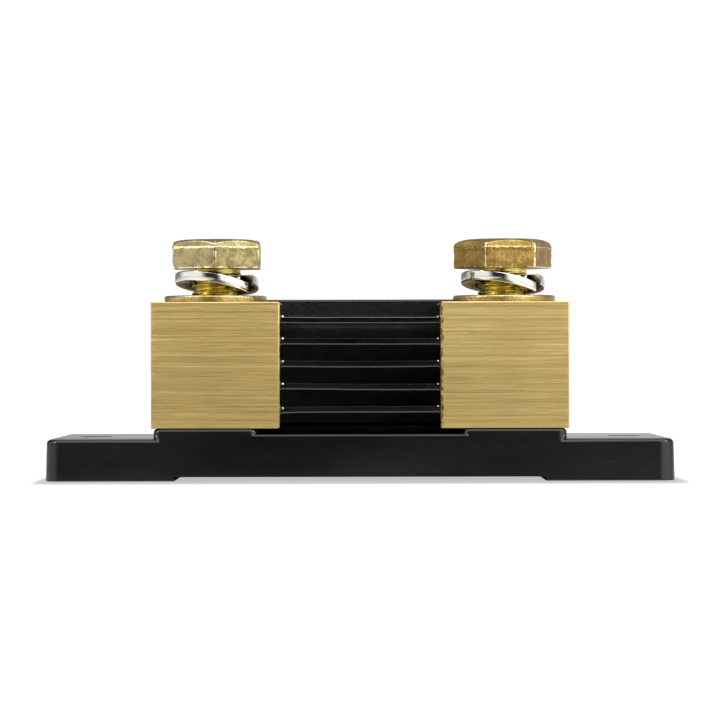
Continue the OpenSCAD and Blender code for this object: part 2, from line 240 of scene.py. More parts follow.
class Nodes:
    """A node tree, with short names for the nodes used here."""

    def __init__(self, tree):
        self.tree = tree
        tree.nodes.clear()

    def give(self, socket, value):
        """Links a socket to another node's output, or sets it to a number, a vector or a colour."""
        if isinstance(value, bpy.types.NodeSocket):
            self.tree.links.new(value, socket)
        elif isinstance(value, tuple) and socket.type == "RGBA":
            socket.default_value = (*value, 1)
        else:
            socket.default_value = value

    def node(self, kind, **inputs):
        """A new node, its inputs given by name, with underscores for spaces."""
        made = self.tree.nodes.new(kind)
        for socket, value in inputs.items():
            self.give(made.inputs[socket.replace("_", " ")], value)
        return made

    def xyz(self, vector):
        return self.node("ShaderNodeSeparateXYZ", Vector=vector).outputs

    def place(self, scale=(1, 1, 1)):
        """The point in the object's own space, stretched along each axis."""
        coordinates = self.node("ShaderNodeTexCoord").outputs["Object"]
        return self.node("ShaderNodeMapping", Vector=coordinates, Scale=scale).outputs["Vector"]

    def attribute(self, name):
        """A number that the mesh holds for each vertex."""
        made = self.node("ShaderNodeAttribute")
        made.attribute_name = name
        return made.outputs["Fac"]

    def noise(self, scale, detail=3.0, roughness=0.55, stretch=(1, 1, 1)):
        """Cloudy noise. scale counts its features per metre, before the stretch."""
        made = self.node("ShaderNodeTexNoise", Vector=self.place(stretch), Scale=scale, Detail=detail,
                         Roughness=roughness)
        return made.outputs["Fac"]

    def cells(self, scale):
        """The distance to the nearest of many scattered points."""
        return self.node("ShaderNodeTexVoronoi", Vector=self.place(), Scale=scale).outputs["Distance"]

    def ramp(self, value, low, high, start=0.0, end=1.0):
        """Maps low..high onto start..end, smoothly and clamped."""
        made = self.node("ShaderNodeMapRange", Value=value, From_Min=low, From_Max=high, To_Min=start,
                         To_Max=end)
        made.interpolation_type = "SMOOTHSTEP"
        return made.outputs["Result"]

    def spread(self, pattern, start, end):
        """Maps the range that most of a noise lies in onto start..end."""
        return self.ramp(pattern, 0.3, 0.7, start, end)

    def maths(self, operation, a, b=0.5):
        made = self.node("ShaderNodeMath")
        made.operation = operation
        self.give(made.inputs[0], a)
        self.give(made.inputs[1], b)
        return made.outputs[0]

    def mix(self, factor, a, b, blend="MIX"):
        made = self.node("ShaderNodeMix")
        made.data_type = "RGBA"
        made.blend_type = blend
        for socket, value in ((0, factor), (6, a), (7, b)):
            self.give(made.inputs[socket], value)
        return made.outputs[2]

    def stain(self, tone, pattern, low, high, color, most=1.0):
        """Lays a colour over tone: none of it where the pattern is under low, most of it over high."""
        return self.mix(self.ramp(pattern, low, high, 0.0, most), tone, color)

    def top_face_painted_shade(self, tone, dust_and_shade):
        """Darkens a colour towards a dull grey-brown on level faces: painted shade on the faces that look up.
        """
        level = self.xyz(self.node("ShaderNodeNewGeometry").outputs["Normal"])["Z"]
        return self.stain(tone, level, 0.93, 0.99, shade(112, 100, 78), dust_and_shade)

    def bump(self, height, distance, strength=1.0, under=None):
        """A surface normal bent by a height. under is the normal of a bump below this one."""
        made = self.node("ShaderNodeBump", Height=height, Distance=distance, Strength=strength)
        if under:
            self.give(made.inputs["Normal"], under)
        return made.outputs["Normal"]


class Graph(Nodes):
    """A material and its main shader."""

    def __init__(self, name, color, roughness, metallic=0.0, **sockets):
        self.material = bpy.data.materials.new(name)
        self.material.use_nodes = True
        super().__init__(self.material.node_tree)
        output = self.node("ShaderNodeOutputMaterial")
        self.shader = self.node("ShaderNodeBsdfPrincipled", Base_Color=color, Roughness=roughness,
                                Metallic=metallic, **sockets)
        self.give(output.inputs["Surface"], self.shader.outputs["BSDF"])
        self.material.diffuse_color = (*color, 1)

    def set(self, socket, value):
        self.give(self.shader.inputs[socket], value)


def shade(red, green, blue):
    """Linear colour from the 0 to 255 values a screen shows."""
    def linear(value):
        value /= 255
        return value / 12.92 if value <= 0.04045 else ((value + 0.055) / 1.055) ** 2.4
    return (linear(red), linear(green), linear(blue))


# ---------------------------------------------------------------- materials

# Between these heights the blocks' brass goes from painted shade at the foot to painted light at the top
PAINTED_SHADE_Z, PAINTED_LIGHT_Z = 11 * MM, 34 * MM


def brushed_brass(name, grain, painted_x=None):
    """Milled brass brushed with a coarse belt, with painted shade towards the foot and painted light towards
    the top. grain is the axis, 0 to 2, that the scratches run along. painted_x is the place of an edge that
    the strips' lacquer has crept over, where there is one."""
    g = Graph(name, shade(196, 170, 105), 0.42, 1.0)

    def along(run, across):
        return tuple(run if axis == grain else across for axis in range(3))

    hair = g.noise(1.0, 3.0, 0.65, along(45.0, 8200.0))
    scratch = g.noise(1.0, 2.0, 0.6, along(30.0, 4300.0))
    band = g.noise(1.0, 4.0, 0.75, along(14.0, 2300.0))
    cloud = g.noise(60.0, 2.0)
    pale, middle, dark = shade(232, 208, 146), shade(218, 189, 116), shade(156, 126, 60)
    tone = g.stain(middle, band, 0.33, 0.68, pale)
    tone = g.stain(tone, scratch, 0.60, 0.72, dark, 0.55)
    tone = g.stain(tone, hair, 0.30, 0.75, dark, 0.38)
    tone = g.stain(tone, cloud, 0.35, 0.75, shade(180, 146, 84), 0.22)
    x, _, z = g.xyz(g.place())
    # Painted light and shade: the brass is darkened towards the foot and brightened towards the top
    tone = g.mix(1.0, tone, g.ramp(z, PAINTED_SHADE_Z, PAINTED_LIGHT_Z, 0.86, 1.2), "MULTIPLY")
    # Painted shade on the faces that look up
    tone = g.top_face_painted_shade(tone, 0.5)
    if painted_x is not None:
        inside = g.maths("ABSOLUTE", g.maths("SUBTRACT", x, painted_x))
        ragged = g.maths("ADD", inside, g.spread(g.noise(1100.0, 4.0, 0.7), -0.35 * MM, 0.35 * MM))
        tone = g.mix(g.ramp(ragged, 0.25 * MM, 0.6 * MM, 0.85, 0.0), tone, shade(70, 58, 40))
    g.set("Base Color", tone)
    g.set("Roughness", g.maths("ADD", g.ramp(hair, 0.2, 0.8, 0.30, 0.44), g.spread(band, 0.0, 0.08)))
    g.set("Normal", g.bump(scratch, 0.00008, 0.6, g.bump(hair, 0.00005, 0.7)))
    return g.material


def forged_brass(name, clean, tarnish, die_lines):
    """Cold-forged bolt brass: lines from the trimming die, small dents, a dull tarnish, and ragged
    polished metal where the "worn" attribute marks an edge, worn metal with a painted highlight on it.
    die_lines, 0 to 1, is how strong the lines are."""
    g = Graph(name, clean, 0.34, 1.0)
    die = g.noise(1.0, 2.5, 0.6, (2600, 2600, 130))
    dents = g.noise(900.0, 3.0, 0.6)
    stain = g.noise(330.0, 5.0, 0.7)
    crown = g.noise(2600.0, 2.0)
    # Worn metal and painted highlight: a pale polished colour on the corners, flash ridge and foot
    ragged_wear_and_highlight = g.maths("ADD", g.attribute("worn"), g.spread(dents, -0.55, 0.25))
    bare = g.ramp(ragged_wear_and_highlight, 0.45, 0.75)
    tone = g.stain(clean, stain, 0.38, 0.62, tarnish)
    tone = g.stain(tone, die, 0.50, 0.78, shade(104, 90, 48), die_lines)
    tone = g.stain(tone, crown, 0.55, 0.75, shade(226, 214, 164), 0.45)
    # Painted shade on the faces that look up
    g.set("Base Color", g.top_face_painted_shade(g.mix(bare, tone, shade(238, 226, 182)), 0.35))
    dull = g.maths("ADD", g.spread(stain, 0.24, 0.36), g.ramp(die, 0.3, 0.8, 0.0, 0.12))
    g.set("Roughness", g.maths("SUBTRACT", dull, g.maths("MULTIPLY", bare, 0.08)))
    first = g.bump(die, 0.00006, die_lines)
    second = g.bump(dents, 0.00012, 0.6, first)
    g.set("Normal", g.bump(crown, 0.00003, 0.5, second))
    return g.material


def thread_brass():
    """Rolled thread, yellower and brighter than the head because nothing has touched it."""
    g = Graph("thread_brass", shade(232, 218, 134), 0.24, 1.0)
    rolled = g.noise(1.0, 2.0, 0.5, (500, 500, 2600))
    stain = g.noise(420.0, 3.0)
    g.set("Base Color", g.stain(shade(236, 222, 136), stain, 0.35, 0.7, shade(206, 182, 92)))
    g.set("Roughness", g.spread(rolled, 0.22, 0.36))
    g.set("Normal", g.bump(rolled, 0.00002, 0.4))
    return g.material


def stamped_brass():
    """Washer stock: stamped, tumbled with stones, so its faces are covered with small dings."""
    g = Graph("stamped_brass", shade(178, 158, 106), 0.36, 1.0)
    dings = g.cells(1500.0)
    grain = g.noise(3400.0, 3.0)
    stain = g.noise(260.0, 3.0)
    tone = g.stain(shade(192, 175, 125), stain, 0.35, 0.7, shade(158, 136, 84))
    tone = g.stain(tone, grain, 0.58, 0.75, shade(212, 200, 152), 0.4)
    # Painted shade on the faces that look up
    g.set("Base Color", g.top_face_painted_shade(tone, 0.35))
    g.set("Roughness", g.spread(grain, 0.24, 0.46))
    g.set("Normal", g.bump(grain, 0.00004, 0.6, g.bump(dings, 0.00012, 0.5)))
    return g.material


def bright_zinc():
    """Drawn spring wire, bright zinc plated: long faint lines, a few bare rubs, and painted shade, a dark
    brown, on the underside and inner wall of the coil where the "underside_shade" attribute marks it."""
    g = Graph("bright_zinc", shade(226, 225, 220), 0.17, 1.0)
    drawn = g.noise(1.0, 2.0, 0.5, (260, 260, 3600))
    rub = g.noise(900.0, 3.0)
    plated = g.stain(shade(228, 227, 223), rub, 0.55, 0.75, shade(216, 212, 200))
    # Painted shade: dark brown on the wire's underside and inner wall, with a ragged edge
    underside_shade = g.maths("ADD", g.attribute("underside_shade"), g.spread(rub, -0.15, 0.15))
    g.set("Base Color", g.stain(plated, underside_shade, 0.2, 0.9, shade(112, 88, 40)))
    g.set("Roughness", g.maths("ADD", g.spread(drawn, 0.07, 0.12), g.ramp(rub, 0.5, 0.8, 0.0, 0.06)))
    g.set("Normal", g.bump(drawn, 0.00002, 0.25))
    return g.material


def plated_metal(name, color):
    """Tumbled and plated small parts: cloudy, with faint rubs."""
    g = Graph(name, shade(*color), 0.3, 1.0)
    rub = g.noise(1500.0, 3.0)
    cloud = g.noise(420.0, 2.0)
    darker = shade(*(c * 0.82 for c in color))
    g.set("Base Color", g.stain(shade(*color), cloud, 0.35, 0.7, darker))
    g.set("Roughness", g.ramp(rub, 0.3, 0.75, 0.2, 0.42))
    g.set("Normal", g.bump(rub, 0.00003, 0.5))
    return g.material


def gloss_lacquer():
    """Thick black brushing lacquer: glossy, slightly uneven, with a few specks caught in it."""
    g = Graph("gloss_lacquer", shade(4, 4, 3), 0.08, Specular_IOR_Level=0.75, Coat_Weight=0.6,
              Coat_Roughness=0.04)
    peel = g.noise(420.0, 2.0, 0.5)
    runs = g.noise(1.0, 2.0, 0.5, (45, 230, 230))
    specks = g.cells(950.0)
    g.set("Base Color", g.stain(shade(1, 1, 1), runs, 0.35, 0.7, shade(4, 4, 3)))
    g.set("Roughness", g.spread(peel, 0.04, 0.11))
    first = g.bump(runs, 0.0002, 0.2)
    second = g.bump(peel, 0.00006, 0.30, first)
    g.set("Normal", g.bump(g.ramp(specks, 0.0, 0.12, 1.0, 0.0), 0.00005, 0.5, second))
    return g.material


def moulded_plastic(name, color, grit, roughness, dust_and_shade=0.0):
    """Moulded thermoplastic. grit is the texture's fineness per metre, dust_and_shade how much lint shows on
    it.
    """
    g = Graph(name, shade(*color), roughness, Specular_IOR_Level=0.5)
    fine = g.noise(grit, 3.0, 0.6)
    broad = g.noise(90.0, 3.0, 0.55)
    lighter = shade(*(min(255, c + 9) for c in color))
    tone = g.stain(shade(*color), broad, 0.38, 0.68, lighter)
    if dust_and_shade:
        tone = g.mix(g.ramp(g.cells(1300.0), 0.02, 0.07, dust_and_shade, 0.0), tone, shade(96, 94, 90))
    g.set("Base Color", tone)
    g.set("Roughness", g.maths("ADD", g.spread(fine, roughness - 0.05, roughness + 0.07),
                               g.spread(broad, -0.03, 0.05)))
    g.set("Normal", g.bump(fine, 0.00006, 0.4, g.bump(broad, 0.0004, 0.12)))
    return g.material


def glossy_moulding():
    """The base's glass-filled nylon, moulded in a polished tool: glossy, with faint flow marks."""
    g = Graph("base_black", shade(18, 18, 16), 0.2, Specular_IOR_Level=0.42)
    flow = g.noise(1.0, 3.0, 0.5, (28, 60, 90))
    fine = g.noise(2600.0, 2.0, 0.5)
    scuffs = g.noise(1.0, 2.0, 0.6, (160, 160, 1900))
    g.set("Base Color", g.stain(shade(12, 12, 11), flow, 0.35, 0.68, shade(17, 17, 15)))
    g.set("Roughness", g.maths("ADD", g.spread(flow, 0.15, 0.22), g.ramp(scuffs, 0.6, 0.8, 0.0, 0.10)))
    g.set("Normal", g.bump(fine, 0.00002, 0.25, g.bump(flow, 0.0006, 0.10)))
    return g.material


# The heights between which the painted light on the housing's front wall dims, and then gives way to black
WALL_LIGHT_FADES, WALL_LIGHT_ENDS = (25.5 * MM, 29 * MM), (29.5 * MM, 32.5 * MM)


def wall_with_painted_light():
    """The case's front wall: painted light, a lit grey low down that fades upwards, black at the top."""
    g = Graph("wall_with_painted_light", shade(24, 24, 22), 0.3, Specular_IOR_Level=0.5)
    _, _, height = g.xyz(g.place())
    mist = g.noise(1400.0, 3.0, 0.6)
    cloud = g.noise(210.0, 3.0, 0.6)
    # Painted light: the lightest grey at the wall's foot, a paler grey above it, then black at the top
    thick = g.stain(shade(112, 112, 102), cloud, 0.35, 0.7, shade(96, 96, 88))
    less_lit = g.stain(shade(78, 78, 70), cloud, 0.35, 0.7, shade(64, 64, 58))
    black = g.stain(shade(12, 12, 10), cloud, 0.35, 0.7, shade(17, 17, 15))
    g.set("Base Color", g.stain(g.stain(thick, height, *WALL_LIGHT_FADES, less_lit), height, *WALL_LIGHT_ENDS, black))
    g.set("Roughness", g.spread(mist, 0.26, 0.42))
    g.set("Normal", g.bump(mist, 0.00005, 0.4))
    return g.material


def board_laminate():
    """Green solder resist over copper, which shows as slightly raised, lighter patches."""
    g = Graph("board_resist", shade(20, 84, 44), 0.35, Coat_Weight=0.3, Coat_Roughness=0.15)
    weave = g.noise(2200.0, 1.0, 0.5)
    raised = g.ramp(g.cells(330.0), 0.18, 0.24, 1.0, 0.0)
    g.set("Base Color", g.mix(raised, shade(17, 74, 38), shade(34, 112, 60)))
    g.set("Roughness", g.spread(weave, 0.26, 0.4))
    g.set("Normal", g.bump(weave, 0.00002, 0.4, g.bump(raised, 0.00004, 0.5)))
    return g.material


def clear_pipe():
    """Moulded acrylic, slightly hazy."""
    g = Graph("clear_acrylic", shade(236, 240, 243), 0.08, Transmission_Weight=0.85, IOR=1.49)
    haze = g.noise(900.0, 2.0)
    g.set("Roughness", g.spread(haze, 0.05, 0.16))
    g.set("Normal", g.bump(haze, 0.00003, 0.3))
    return g.material


BLOCK_FACE = {"left": brushed_brass("brushed_brass_x", 0),
              "right": brushed_brass("painted_edge_brass", 0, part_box("right_block")[0][0])}
BLOCK_END = brushed_brass("brushed_brass_y", 1)
FORGED = {"left": forged_brass("pale_forged_brass", shade(173, 161, 120), shade(136, 122, 78), 0.14),
          "right": forged_brass("golden_forged_brass", shade(186, 156, 88), shade(154, 121, 58), 0.6)}
THREAD = thread_brass()
STAMPED = stamped_brass()
SPRING = bright_zinc()
ZINC = plated_metal("zinc_screw", (196, 198, 202))
TINNED = plated_metal("tinned_contact", (206, 202, 190))
SOLDER = plated_metal("solder_bead", (236, 234, 228))
LACQUER = gloss_lacquer()
BASE_BLACK = glossy_moulding()
CASE_BLACK = moulded_plastic("case_black", (24, 24, 26), 5200.0, 0.48, dust_and_shade=0.2)
LIT_WALL = wall_with_painted_light()
NATURAL_NYLON = moulded_plastic("natural_nylon", (222, 214, 194), 3000.0, 0.45)
GREEN_NYLON = moulded_plastic("green_nylon", (28, 84, 50), 3000.0, 0.42)
ORANGE = moulded_plastic("orange_button", (222, 96, 24), 3000.0, 0.32)
CHIP = moulded_plastic("chip_epoxy", (30, 30, 32), 6000.0, 0.55)
CERAMIC = moulded_plastic("fired_ceramic", (176, 140, 96), 6000.0, 0.5)
FERRITE = moulded_plastic("ferrite", (58, 58, 60), 5000.0, 0.6)
LAMP = moulded_plastic("lamp_epoxy", (236, 236, 224), 4000.0, 0.25)
RESIST = board_laminate()
ACRYLIC = clear_pipe()

CAD_MATERIALS = {
    "base_screws": ZINC, "base_screw_washers": ZINC, "cover_screws": ZINC,
    "circuit_board": RESIST, "sense_screws": ZINC, "sense_washers": ZINC, "sense_spacers": STAMPED,
    "data_socket": NATURAL_NYLON, "data_socket_pins": TINNED,
    "supply_terminal": GREEN_NYLON, "supply_clamp_springs": TINNED,
    "left_release_button": ORANGE, "right_release_button": ORANGE,
    "light_pipes": ACRYLIC, "status_leds": LAMP,
    "controller_chip": CHIP, "radio_module": TINNED, "amplifier_chip": CHIP, "timing_crystal": TINNED,
    "supply_fuse": CERAMIC, "supply_inductor": FERRITE, "board_capacitors": CERAMIC,
    "board_resistors": CHIP,
}
for node_name, node_material in CAD_MATERIALS.items():
    node_mesh = frame["nodes"][node_name].data
    node_mesh.materials.clear()
    node_mesh.materials.append(node_material)


def place_piece(piece, body, slot, *nodes):
    """Puts a finished piece on its body and in place of its CAD nodes."""
    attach(piece, body)
    if nodes:
        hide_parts(*nodes)
    return piece


# ---------------------------------------------------------------- base

HOLES = frame["record"]["mounts"][0]["dims"]
EAR_HOLE_X = HOLES["spacing_x_mm"] / 2 * MM
EAR_HOLE_R = HOLES["hole_r_mm"] * MM
EAR_HOLE_EDGE = 0.8 * MM
EAR_TOP = 8.0 * MM
MIDDLE_TOP = 8.95 * MM
PEDESTAL_X = 39.6 * MM
PEDESTAL_L = 20.4 * MM
FOOT_X = 35.4 * MM
SEAT_X = 20.2 * MM
RECESS = 0.8 * MM
RIM = 2.4 * MM
RIB = 1.5 * MM
BOSS_R = 6.4 * MM
BASE_SCREW_DY = 13 * MM
COUNTERBORE_R = 4.6 * MM
COUNTERBORE_TOP = 4.4 * MM
CLEARANCE_R = 2.25 * MM
PAST = 1 * MM  # how far a cutter reaches past what it cuts


def axis_of(side):
    """Where a terminal bolt's axis stands."""
    low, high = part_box(side + "_terminal_bolt")
    return (low[0] + high[0]) / 2, (low[1] + high[1]) / 2


def pocket_boxes(work, x0, x1, y0, y1, top, columns, rows):
    """Adds a grid of pockets with ribs between them, open below."""
    step_x, step_y = (x1 - x0 + RIB) / columns, (y1 - y0 + RIB) / rows
    for i in range(columns):
        for j in range(rows):
            low = (x0 + i * step_x, y0 + j * step_y, -PAST)
            box_into(work, low, (low[0] + step_x - RIB, low[1] + step_y - RIB, top))


def make_base():
    """The moulding. Its middle, pedestals and seat differ a little in width and height, so that no two of
    their faces lie in one plane when they are joined."""
    low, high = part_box("base")
    length, width, top = high[0] - low[0], high[1] - low[1], high[2]
    base = slab("base_shell", (0, 0), length, width, 0, EAR_TOP,
                corner=3 * MM, top=0.9 * MM, foot=0.25 * MM)
    middle = slab("middle", (0, 0), 2 * PEDESTAL_X - 2 * MM, width - 0.04 * MM, 1.5 * MM, MIDDLE_TOP,
                  corner=1.5 * MM, top=0.6 * MM, foot=0.2 * MM)
    combine(base, middle, "UNION")
    for sign in SIDES.values():
        pedestal = slab("pedestal", (sign * (PEDESTAL_X - PEDESTAL_L / 2), 0), PEDESTAL_L,
                        width - 0.02 * MM, 1.2 * MM, top, corner=1.8 * MM, top=0.75 * MM, foot=0.2 * MM)
        combine(base, pedestal, "UNION")
    seat_front, seat_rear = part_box("sensor_case")[0][1], width / 2 - 0.2 * MM
    seat = slab("seat", (0, (seat_front + seat_rear) / 2), 2 * SEAT_X, seat_rear - seat_front,
                2 * MM, top - 0.01 * MM, corner=0.3 * MM, top=0.3 * MM, foot=0.2 * MM)
    combine(base, seat, "UNION")

    hollow = bmesh.new()
    edge_y = width / 2 - RIM
    pocket_boxes(hollow, -FOOT_X + RIM, FOOT_X - RIM, -edge_y, edge_y, MIDDLE_TOP - RIM, 6, 5)
    for x0, x1 in ((FOOT_X + RIM, length / 2 - RIM), (-length / 2 + RIM, -FOOT_X - RIM)):
        pocket_boxes(hollow, x0, x1, -edge_y, edge_y, EAR_TOP - RIM, 2, 5)
    pockets = finish_mesh("pockets", hollow)

    recess, bosses, holes, bores, mouths = (bmesh.new() for _ in range(5))
    box_into(recess, (-FOOT_X, -width, -PAST), (FOOT_X, width, RECESS))
    for sign in SIDES.values():
        post_into(bosses, sign * EAR_HOLE_X, 0, -2 * PAST, top, BOSS_R)
        post_into(holes, sign * EAR_HOLE_X, 0, -PAST, top + PAST, EAR_HOLE_R)
    for side, sign in SIDES.items():
        x, y = axis_of(side)
        for screw_y in (y - BASE_SCREW_DY, y + BASE_SCREW_DY):
            post_into(bosses, x, screw_y, -2 * PAST, top, BOSS_R)
            post_into(bores, x, screw_y, -PAST, COUNTERBORE_TOP, COUNTERBORE_R)
            post_into(mouths, x, screw_y, COUNTERBORE_TOP - PAST, top + PAST, CLEARANCE_R)
        post_into(mouths, sign * EAR_HOLE_X, 0, EAR_TOP - 0.35 * MM, EAR_TOP + 0.5 * MM, EAR_HOLE_R,
                  EAR_HOLE_R + EAR_HOLE_EDGE)
    combine(pockets, finish_mesh("bosses", bosses))
    combine(base, pockets)
    for name, cutter in (("recess", recess), ("cuts", holes), ("bores", bores), ("seats", mouths)):
        combine(base, finish_mesh(name, cutter))
    base.data.materials.clear()
    base.data.materials.append(BASE_BLACK)
    place_piece(base, "shunt", "base_plastic", "base")


# ---------------------------------------------------------------- blocks and strips

FACING = 0.9  # the least cosine between a face's normal and an axis when the face looks along it


def make_block(side):
    """A milled block. Its inner face is lacquered with the strips, over its round top and foot edges too."""
    node = side + "_block"
    low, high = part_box(node)
    inner = -SIDES[side]
    inner_x = high[0] if inner > 0 else low[0]

    def inner_corner(edge):
        return all(abs(v.co.x - inner_x) < NEAR and abs(v.co.y - low[1]) < NEAR for v in edge.verts)

    def inner_long(edge):
        return all(abs(v.co.x - inner_x) < NEAR and min(abs(v.co.z - low[2]), abs(v.co.z - high[2])) < NEAR
                   for v in edge.verts)

    rounds = ((0.45 * MM, inner_long), (0.22 * MM, inner_corner), (0.2 * MM, on_hull_edge(low, high)))
    block = soft_copy(node, node + "_milled", rounds, BLOCK_FACE[side], BLOCK_END, LACQUER)
    for face in block.data.polygons:
        upright = abs(face.normal.z) < 0.1
        if face.normal.x * inner > (FACING if upright else 0.25):
            face.material_index = 2
        elif face.normal.x * inner < -FACING:
            face.material_index = 1
    place_piece(block, "shunt", "block_brass", node)


# How far each strip's left end, right end and middle lie off its slot's height, in millimetres
STRIP_BOW = {1: (-0.30, 0.05, 0.0), 2: (0.05, -0.06, 0.0), 3: (0.0, 0.08, 0.0), 4: (0.08, 0.0, 0.0),
             5: (-0.05, -0.12, -0.25)}
FILLET = 0.5 * MM  # radius of the lacquer's fillet against a block
# Radius of each strip's upper edges, and of all their lower edges
ROUND_ABOVE = {1: 0.03 * MM, 2: 0.03 * MM, 3: 0.035 * MM, 4: 0.035 * MM, 5: 0.17 * MM}
ROUND_BELOW = 0.36 * MM
PAINT_SAG = 0.17 * MM
# The bead of solder at each end: how far it is from the block, and its radius
LEFT_BEAD = 0.45 * MM, 0.29 * MM
RIGHT_BEAD = 0.32 * MM, 0.22 * MM
IN_SLOT = 2 * MM


def strip_section(half_w, half_t, round_above, across=26, corner=5):
    """The outline of a painted strip in its own Y and Z, counter-clockwise. across and corner count the
    steps along its broad faces and round its edges."""
    points = []
    for sy, sz, start in CORNERS:
        r = round_above if sz > 0 else ROUND_BELOW
        reach = half_t if sz > 0 else half_t + PAINT_SAG
        points += arc((sy * (half_w - r), sz * (reach - r)), r, start, start + 90, corner)
        if start in (0, 180):
            span = 2 * (half_w - r)
            for i in range(1, across):
                points.append((sy * (half_w - r) - sy * span * i / across, sz * reach))
    return points


def strip_stations(left_face, right_face):
    """Where along X a strip has a section: in each slot, close together over the fillets, and evenly
    between them."""
    near = [FILLET * (1 - math.cos(a)) for a in quarter(10)]
    span = right_face - left_face - 2 * FILLET
    stations = [left_face - IN_SLOT, left_face - 0.01 * MM]
    stations += [left_face + d for d in near]
    stations += [left_face + FILLET + span * i / 40 for i in range(1, 40)]
    stations += [right_face - d for d in reversed(near)]
    return stations + [right_face + 0.01 * MM, right_face + IN_SLOT]


def make_strip(number):
    """A painted strip: bowed, uneven, with a fillet at each block and a bead of bare solder at each end."""
    node = f"shunt_strip_{number}"
    low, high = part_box(node)
    left_face, right_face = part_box("left_block")[1][0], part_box("right_block")[0][0]
    mid_y, mid_z = (low[1] + high[1]) / 2, (low[2] + high[2]) / 2
    half_w, half_t = (high[1] - low[1]) / 2, (high[2] - low[2]) / 2
    bow_left, bow_right, sag = STRIP_BOW[number]
    rings = []
    for x in strip_stations(left_face, right_face):
        in_gap = left_face <= x <= right_face
        d = min(x - left_face, right_face - x, FILLET)
        flare = FILLET - math.sqrt(FILLET ** 2 - (FILLET - d) ** 2) if in_gap else 0.0
        t = min(max((x - left_face) / (right_face - left_face), 0.0), 1.0)
        bow = MM * (bow_left * (1 - t) ** 3 + bow_right * t ** 3 + sag * math.sin(math.pi * t) ** 0.5)
        ring = []
        for y, z in strip_section(half_w, half_t + flare, ROUND_ABOVE[number]):
            point = (x * 0.5, y, z + number * 3 * MM)
            wave = ripple(point, 90, 0.15 * MM) + ripple(point, 380, 0.035 * MM) if in_gap else 0.0
            ring.append((x, mid_y + y + 0.4 * wave, mid_z + z + (bow + wave if in_gap else 0.0)))
        rings.append(ring)
    work = bmesh.new()
    skin(work, rings)
    lacquered = len(work.faces)
    for x, radius, bow in ((left_face + LEFT_BEAD[0], LEFT_BEAD[1], bow_left),
                           (right_face - RIGHT_BEAD[0], RIGHT_BEAD[1], bow_right)):
        place = Vector((x, mid_y - half_w + 0.12 * MM, mid_z + half_t - 0.05 * MM + bow * MM))
        bmesh.ops.create_uvsphere(work, u_segments=20, v_segments=12, radius=radius,
                                  matrix=Matrix.Translation(place) @ Matrix.Diagonal((1, 1, 0.85, 1)))
    for i, face in enumerate(work.faces):
        face.material_index = 0 if i < lacquered else 1
    strip = finish_mesh(f"painted_strip_{number}", work, LACQUER, SOLDER, sharp=60)
    place_piece(strip, "shunt", "strip_paint", node)


# ---------------------------------------------------------------- terminal bolts and washers

HEX_AF = 17 * MM
HEX_H = 5.8 * MM
CORNER_POWER = 110       # the higher, the sharper the hexagon's corners
TORN_FROM = 9.35 * MM    # only what is further out than this can be torn off a corner
RIDGE_Z = 4.05 * MM      # height of the flash ridge above the head's seat
RIDGE_OUT = 0.09 * MM
RIDGE_BAND = 0.4 * MM    # the rings are closer together this far to each side of the ridge
UPPER_DRAFT = 0.12
BELLY = 0.05 * MM
FOOT_ROUND = 0.28 * MM
CROWN_R = 5.8 * MM
HEX_TURN = {"left": 30.0, "right": 8.3}
CORNER_TEAR = {"left": 0.12, "right": 0.3}
THREAD_R = 4.94 * MM
PITCH = 1.5 * MM
THREAD_DEPTH = 0.92 * MM
HEAD_SIDES, THREAD_SIDES, WASHER_SIDES, SPRING_STEPS = 360, 64, 144, 200


def soft_min(a, b, k):
    """The lower of two numbers, blended where they are less than about k apart."""
    low = min(a, b)
    return low - k * math.log(math.exp((low - a) / k) + math.exp((low - b) / k))


def hex_radius(angle, turn):
    """Radius of a hexagon with slightly rounded corners. turn is where its corners are."""
    total = sum(max(math.cos(angle - turn - math.pi / 6 - k * math.pi / 3), 0.0) ** CORNER_POWER
                for k in range(6))
    return HEX_AF / 2 / total ** (1 / CORNER_POWER)


def crown_radius(drop):
    """Radius of the turned-down crown at a distance below the head's top, a shallow dome."""
    d = max(drop, 0.0) / MM
    return CROWN_R + MM * (4.62 * math.sqrt(d) - 0.84 * d)


def head_radius(angle, z, turn, torn):
    """The forged head's side: a flash ridge, a draft above it and a slight belly below it. torn is how much
    of the corners is missing where they are torn."""
    radius = hex_radius(angle, turn)
    corner = max(0.0, radius - TORN_FROM)
    tear = 0.35 + 0.9 * noise.noise(Vector((angle * 2.0, turn * 3.0, z / MM * 2.3)))
    radius -= torn * corner * min(max(tear, 0.0), 1.0)
    over = z - RIDGE_Z
    if over > 0:
        radius -= UPPER_DRAFT * over
    else:
        radius -= BELLY * (1 - math.sin(math.pi * max(z, 0) / RIDGE_Z))
    radius += RIDGE_OUT * math.exp(-((over / ((0.17 if over > 0 else 0.5) * MM)) ** 2))
    if z < FOOT_ROUND:
        radius -= FOOT_ROUND * (1 - math.sqrt(1 - (1 - z / FOOT_ROUND) ** 2)) * 0.8
    return soft_min(radius, crown_radius(HEX_H - z), 0.05 * MM)


def edge_wear_and_highlight(angle, z, turn):
    """How near a point is to a corner, the flash ridge or the foot: 1 on the edge, 0 away from it."""
    sector = math.pi / 3
    off = (angle - turn + sector / 2) % sector - sector / 2
    corner = math.exp(-(off * HEX_AF / 2 / (0.28 * MM)) ** 2)
    ridge = 0.75 * math.exp(-((z - RIDGE_Z) / (0.22 * MM)) ** 2)
    foot = 0.85 * math.exp(-((z - 0.2 * MM) / (0.16 * MM)) ** 2)
    return max(corner, ridge, foot)


